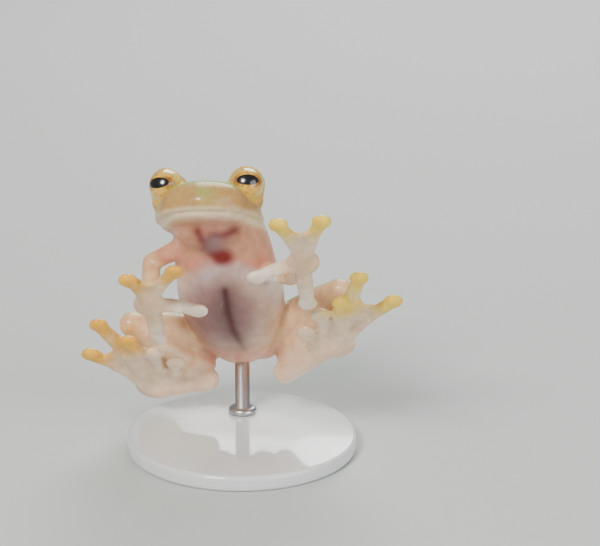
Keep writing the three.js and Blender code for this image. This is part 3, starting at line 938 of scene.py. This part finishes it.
# %% A material and its nodes
class Shader:
    """A material's node tree: node() adds any node and gives its first output, or a named one."""

    def __init__(self, name):
        self.material = bpy.data.materials.new(name)
        self.material.use_nodes = True
        self.tree = self.material.node_tree
        self.surface = self.tree.nodes["Principled BSDF"]

    def plug(self, socket, value):
        """A link, a colour or a plain number into a socket."""
        if isinstance(value, Value):
            self.tree.links.new(value.socket, socket)
        elif isinstance(value, (tuple, list, np.ndarray)):
            values = [float(v) for v in value]
            socket.default_value = values + [1.0] * (len(socket.default_value) - len(values))
        else:
            socket.default_value = value

    def node(self, kind, settings=None, *values, output=0, **named):
        """A node with its settings, its sockets in order, and its sockets by name."""
        node = self.tree.nodes.new(kind)
        for key, setting in (settings or {}).items():
            setattr(node, key, setting)
        for socket, value in zip(node.inputs, values):
            self.plug(socket, value)
        for key, value in named.items():
            self.plug(node.inputs[key.replace("_", " ")], value)
        return Value(self, node.outputs[output])

    def place(self):
        """The place on the object, in metres."""
        return self.node("ShaderNodeTexCoord", output="Object")

    def kept(self, name, output="Fac"):
        """A value or colour that was kept on the points of the mesh."""
        return self.node("ShaderNodeAttribute", {"attribute_name": name}, output=output)

    def noise(self, scale, detail=3.0):
        return self.node("ShaderNodeTexNoise", None, Vector=self.place(), Scale=scale, Detail=detail)

    def cells(self, scale):
        """The distance to the nearest of many scattered points."""
        return self.node("ShaderNodeTexVoronoi", None, Vector=self.place(), Scale=scale)

    def between(self, value, low, high):
        """0 below low, 1 above high, and a smooth step between them."""
        settings = {"interpolation_type": "SMOOTHSTEP"}
        return self.node("ShaderNodeMapRange", settings, value, low, high, 0.0, 1.0)

    def mix(self, share, first, second, blend="MIX"):
        """Two colours mixed by a share, or the first multiplied by the second."""
        node = self.tree.nodes.new("ShaderNodeMix")
        node.data_type, node.blend_type = "RGBA", blend
        for socket, value in zip((node.inputs[0], node.inputs[6], node.inputs[7]), (share, first, second)):
            self.plug(socket, value)
        return Value(self, node.outputs[2])

    def finish(self, colour, roughness, bump=None, strength=0.0, depth=0.0, **fixed):
        """Colour, roughness, a bump some metres deep, and fixed values by name."""
        self.plug(self.surface.inputs["Base Color"], colour)
        self.plug(self.surface.inputs["Roughness"], roughness)
        if bump is not None:
            settings = {"Strength": strength, "Distance": depth, "Height": bump}
            self.plug(self.surface.inputs["Normal"], self.node("ShaderNodeBump", None, **settings))
        for key, value in fixed.items():
            self.plug(self.surface.inputs[key.replace("_", " ")], value)
        return self.material


# %% [markdown]
# ## Wet, clear skin
#
# Frog skin is soft and lets light in, which scatters under the surface over a few tenths of a millimetre
# at this size, and its wet film gives small sharp lights. The back gets round golden spots and fine dark
# flecks on green. Fine grain breaks the gloss.

# %% The skin's material
GRAIN_SCALE = 5200
PIMPLE_SCALE = 4200
FLECK_SCALE = 2600
LEAF_SCALE = 1500
CLOUD_SCALE = 1100
SPOT_SCALE = 520
CLOUD_DARK = (0.9, 0.82, 0.76)
CLOUD_PALE = (1.05, 1.04, 1.0)
LEAF_GREEN = tone(122, 168, 70)
SPOT_GOLD = tone(238, 206, 88)
FLECK_DARK = tone(62, 84, 46)
CLOUD_RANGE = (0.3, 0.7)
LEAF_RANGE = (0.35, 0.7)
SPOT_EDGE = (0.22, 0.34)
FLECK_EDGE = (0.12, 0.22)
FLECK_COVER = 0.55


def skin_material():
    """Clouded paint below, green with spots and flecks above, over fine pimples."""
    shader = Shader("clear_skin")
    above = shader.kept("above")
    painted = shader.kept("tint", "Color")
    cloud = shader.between(shader.noise(CLOUD_SCALE), *CLOUD_RANGE)
    painted = shader.mix(1.0, painted, shader.mix(cloud, CLOUD_DARK, CLOUD_PALE), "MULTIPLY")
    back = shader.mix(shader.between(shader.noise(LEAF_SCALE), *LEAF_RANGE), GREEN, LEAF_GREEN)
    back = shader.mix(1 - shader.between(shader.cells(SPOT_SCALE), *SPOT_EDGE), back, SPOT_GOLD)
    flecks = (1 - shader.between(shader.cells(FLECK_SCALE), *FLECK_EDGE)) * FLECK_COVER
    back = shader.mix(flecks, back, FLECK_DARK)
    colour = shader.mix(above, painted, back)
    grain = shader.noise(GRAIN_SCALE, 4.0) * 0.6 - shader.cells(PIMPLE_SCALE) * 0.8
    roughness = 0.34 + shader.noise(FLECK_SCALE, 2.0) * 0.2
    fixed = {"Subsurface_Weight": 0.4, "Subsurface_Radius": (1.0, 0.4, 0.25), "Subsurface_Scale": 0.0004}
    fixed |= {"Coat_Weight": 0.35, "Coat_Roughness": 0.12, "IOR": 1.4}
    return shader.finish(colour, roughness, grain, 0.45, 0.00005, **fixed)


skin.data.materials.clear()
skin.data.materials.append(skin_material())
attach(skin, "root")
FLESH_NODES = ["torso", "head", "jaw"]
for side in ("left", "right"):
    FLESH_NODES += [f"{part}_{side}" for part in ("upper_arm", "forearm", "hand", "thigh", "shank", "foot")]
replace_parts(skin, *FLESH_NODES)
print("one skin stands for", len(FLESH_NODES), "solids")

# %% [markdown]
# ## Eyes
#
# Each eye is a smooth ball with a low clear bulge in front. The iris is gold with fine dark veins, and
# the pupil is a wide flat oval. The pattern follows two values kept on the mesh: how far a point lies to
# the side of the gaze and how far above it.

# %% The eye's material
PUPIL_WIDE = 0.78
PUPIL_HIGH = 0.39
IRIS_GOLD = tone(224, 176, 64)
IRIS_VEIN = tone(170, 110, 36)
IRIS_RIM = tone(218, 186, 92)
RUST = tone(128, 52, 28)
PUPIL_BLACK = tone(10, 8, 8)
VEIN_SCALE = 3600
VEIN_RANGE = (0.45, 0.7)
RIM_RANGE = (0.85, 1.2)
RUST_OUT = (0.45, 0.8)
RUST_END = (1.0, 2.6)
RUST_COVER = 0.75
PUPIL_EDGE = (0.85, 1.05)


def eye_material():
    """A gold iris with fine veins and a rusty edge round a flat oval pupil."""
    shader = Shader("gold_eye")
    sideways, rise = shader.kept("sideways"), shader.kept("rise")
    slot = (sideways / PUPIL_WIDE) ** 2.0 + (rise / PUPIL_HIGH) ** 2.0
    out = (sideways**2.0 + rise**2.0) ** 0.5
    veins = shader.noise(VEIN_SCALE, 5.0)
    iris = shader.mix(shader.between(veins, *VEIN_RANGE), IRIS_GOLD, IRIS_VEIN)
    iris = shader.mix(shader.between(out, *RIM_RANGE), iris, IRIS_RIM)
    rust = (1 - shader.between(slot, *RUST_END)) * shader.between(out, *RUST_OUT)
    iris = shader.mix(rust * RUST_COVER, iris, RUST)
    colour = shader.mix(1 - shader.between(slot, *PUPIL_EDGE), iris, PUPIL_BLACK)
    fixed = {"Coat_Weight": 1.0, "Coat_Roughness": 0.03, "IOR": 1.45}
    return shader.finish(colour, 0.25, veins, 0.15, 0.00002, **fixed)


# %% Eyeballs
CORNEA = 0.06
CORNEA_RISE = (0.45, 0.95)
EYE_SIDES = 72
FAR_SIDE = 2


def eye(side, name, material):
    """A ball whose radius grows by a smooth step toward the gaze, with the pattern's two values."""
    gaze = GAZES[side]
    level = unit(np.cross(CROWN, gaze))
    rise_way = np.cross(gaze, level)
    points, groups = ball(np.zeros(3), (1.0, 1.0, 1.0), (level, rise_way, gaze), EYE_SIDES)
    ahead = points @ gaze
    radius = EYE_RADIUS + CORNEA * step(*CORNEA_RISE, ahead)
    piece = add_piece(name, mesh_of(name, [(points * radius[:, None] + eye_centre(side), groups)]))
    for key, values in (("sideways", points @ level), ("rise", points @ rise_way)):
        values = np.where(ahead > 0, values, np.sign(values) * FAR_SIDE)
        keep_values(piece.data, key, values * EYE_RADIUS)
    piece.data.materials.append(material)
    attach(piece, "root")
    return piece


gold_eye = eye_material()
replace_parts(eye(1, "eyeball_left", gold_eye), "eye_left")
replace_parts(eye(-1, "eyeball_right", gold_eye), "eye_right")
print("each eye is", 2 * EYE_RADIUS, "mm across")

# %% [markdown]
# ## The stand
#
# A round acrylic base with polished edges carries a thin steel rod. Both are turned shapes, so each is a
# short profile carried round an upright axis. The rod keeps to its solid and gets a small collar.

# %% Turned pieces
STAND_SIDES = 96
BASE_BEVEL = 0.3
ROD_SINK = 0.28
ROD_RISE = 0.35
COLLAR = [(0, 0.0), (1.9, 0.0), (1.9, 0.3), (1.6, 0.45), (1.0, 0.5)]
print("turned pieces have", STAND_SIDES, "sides")


def turned_piece(axis, profile):
    """A closed turned body: each profile point (radius, height) is carried round the upright axis."""
    radius, height = np.array(profile, float).T
    turn = circle(STAND_SIDES)
    rings = np.stack([
        axis[0] + radius[1:-1, None] * np.cos(turn),
        axis[1] + radius[1:-1, None] * np.sin(turn),
        height[1:-1, None] * np.ones(STAND_SIDES),
    ], axis=-1)
    ends = np.array([[axis[0], axis[1], height[0]], [axis[0], axis[1], height[-1]]])
    return closed_rings(rings, ends)


def rounded_edge(radius, z, bevel, start, end, count=9):
    """The points of a quarter circle at a disc's edge, from one angle to another."""
    angle = np.linspace(math.radians(start), math.radians(end), count)
    return np.stack([radius - bevel + bevel * np.cos(angle), z + bevel * np.sin(angle)], axis=1)


def base_profile(low, high):
    """A disc with a quarter round at its lower and its upper edge."""
    radius = (high[0] - low[0]) / 2
    foot = rounded_edge(radius, low[2] + BASE_BEVEL, BASE_BEVEL, -90, 0)
    rim = rounded_edge(radius, high[2] - BASE_BEVEL, BASE_BEVEL, 0, 90)
    return [(0, low[2]), *foot, *rim, (radius * 0.5, high[2]), (0, high[2])]


def rod_profile(low, high):
    """A rod with a collar at its foot: each collar point is a share of the radius and a height."""
    radius = (high[0] - low[0]) / 2
    bottom, top = low[2] - ROD_SINK, high[2] + ROD_RISE
    collar = [(share * radius, bottom + rise) for share, rise in COLLAR]
    return [*collar, (radius, top), (0, top)]


# %% Acrylic and steel
def base_material():
    shader = Shader("polished_acrylic")
    haze = shader.noise(60, 4.0)
    colour = shader.mix(haze * 0.5, tone(226, 228, 226), tone(206, 210, 208))
    roughness = 0.08 + shader.noise(400, 3.0) * 0.12
    marks = shader.noise(2500, 2.0)
    return shader.finish(colour, roughness, marks, 0.05, 0.00001, IOR=1.49, Coat_Weight=0.4)


def rod_material():
    shader = Shader("fine_steel")
    stretch = shader.node("ShaderNodeMapping", None, Vector=shader.place(), Scale=(1.0, 1.0, 0.05))
    lines = shader.node("ShaderNodeTexNoise", None, Vector=stretch, Scale=9000.0, Detail=3.0)
    colour = shader.mix(lines, tone(176, 178, 180), tone(206, 208, 210))
    return shader.finish(colour, 0.22 + lines * 0.2, lines, 0.2, 0.00001, Metallic=1.0)


# %% Build the stand
def stand_piece(name, node, profile_of, material):
    """A turned piece on the middle of a node's box, from a profile worked out from that box."""
    low, high = (np.array(corner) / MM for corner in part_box(node))
    points, groups = turned_piece((low + high) / 2, profile_of(low, high))
    piece = add_piece(name, mesh_of(name, [(points - SHIFT, groups)]))
    piece.data.materials.append(material)
    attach(piece, "root")
    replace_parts(piece, node)
    return piece


stand_piece("base", "stand_base", base_profile, base_material())
stand_piece("rod", "stand_rod", rod_profile, rod_material())

# %% [markdown]
# ## Floor, light and camera
#
# The camera looks at the belly side from a little above, far away with a long lens, so that sizes in
# the picture stay true. Wide soft lights near the frog keep the shadows gentle, and their power is
# small, as the scene is.

# %% Floor
FLOOR_HALF = 0.6
CORNERS = [(-1, -1), (1, -1), (1, 1), (-1, 1)]


def floor_material():
    shader = Shader("pale_floor")
    colour = shader.mix(shader.noise(30, 3.0) * 0.3, tone(196, 200, 196), tone(188, 192, 188))
    return shader.finish(colour, 0.8)


floor_mesh = bpy.data.meshes.new("floor")
floor_mesh.from_pydata([(x * FLOOR_HALF, y * FLOOR_HALF, 0) for x, y in CORNERS], [], [(0, 1, 2, 3)])
floor = add_piece("floor", floor_mesh, smooth_faces=False)
floor.data.materials.append(floor_material())
print("the floor is", 2 * FLOOR_HALF, "m wide")

# %% Camera
IMAGE_WIDE = 600
IMAGE_HIGH = 546
PIXELS_PER_MM = 13.9
BELLY_PIXEL = (240, 315)
ELEVATION = math.radians(20)
CAMERA_AWAY = 260.0
SENSOR = 36.0

TO_CAMERA = np.array([0, -math.cos(ELEVATION), math.sin(ELEVATION)])
PICTURE_UP = np.array([0, math.sin(ELEVATION), math.cos(ELEVATION)])
right_of_belly = (IMAGE_WIDE / 2 - BELLY_PIXEL[0]) / PIXELS_PER_MM
above_belly = (BELLY_PIXEL[1] - IMAGE_HIGH / 2) / PIXELS_PER_MM
aim = SHIFT + right_of_belly * ACROSS + above_belly * PICTURE_UP

camera_data = bpy.data.cameras.new("camera")
camera_data.sensor_width = SENSOR
camera_data.lens = SENSOR * CAMERA_AWAY * PIXELS_PER_MM / IMAGE_WIDE
camera_data.clip_start = 0.01
camera_data.clip_end = 10
camera = bpy.data.objects.new("camera", camera_data)
camera.location = (aim + CAMERA_AWAY * TO_CAMERA) * MM
camera.rotation_euler = (math.pi / 2 - ELEVATION, 0, 0)
bpy.context.scene.collection.objects.link(camera)
bpy.context.scene.camera = camera
print("the lens is", round(camera_data.lens), "mm, and a pixel is", round(1 / PIXELS_PER_MM, 3), "mm")


# %% Lights
def soft_light(name, place, size, power, colour):
    """A square lamp at a place in millimetres from the frog's belly, turned to face it."""
    data = bpy.data.lights.new(name, "AREA")
    data.size, data.energy, data.color = size * MM, power, colour
    lamp = bpy.data.objects.new(name, data)
    target = SHIFT * MM
    lamp.location = target + np.array(place) * MM
    way = unit(target - np.array(lamp.location))
    across = unit(np.cross(way, [0, 0, 1]))
    up = np.cross(across, way)
    lamp.rotation_euler = Matrix([[across[k], up[k], -way[k]] for k in range(3)]).to_euler()
    bpy.context.scene.collection.objects.link(lamp)


LAMPS = {
    "key": ((-90, -150, 160), 70, 0.62, (1.0, 0.98, 0.95)),
    "fill": ((140, -120, 60), 140, 0.22, (0.95, 0.98, 1.0)),
    "back": ((30, 160, 120), 120, 0.35, (1.0, 1.0, 1.0)),
}
SKY = (0.9, 0.93, 0.95, 1.0)
SKY_POWER = 0.32

for name, lamp in LAMPS.items():
    soft_light(name, *lamp)
world = bpy.context.scene.world or bpy.data.worlds.new("studio")
bpy.context.scene.world = world
world.use_nodes = True
background = world.node_tree.nodes["Background"].inputs
background["Color"].default_value = SKY
background["Strength"].default_value = SKY_POWER
print("lit by", ", ".join(LAMPS), "and a pale sky")
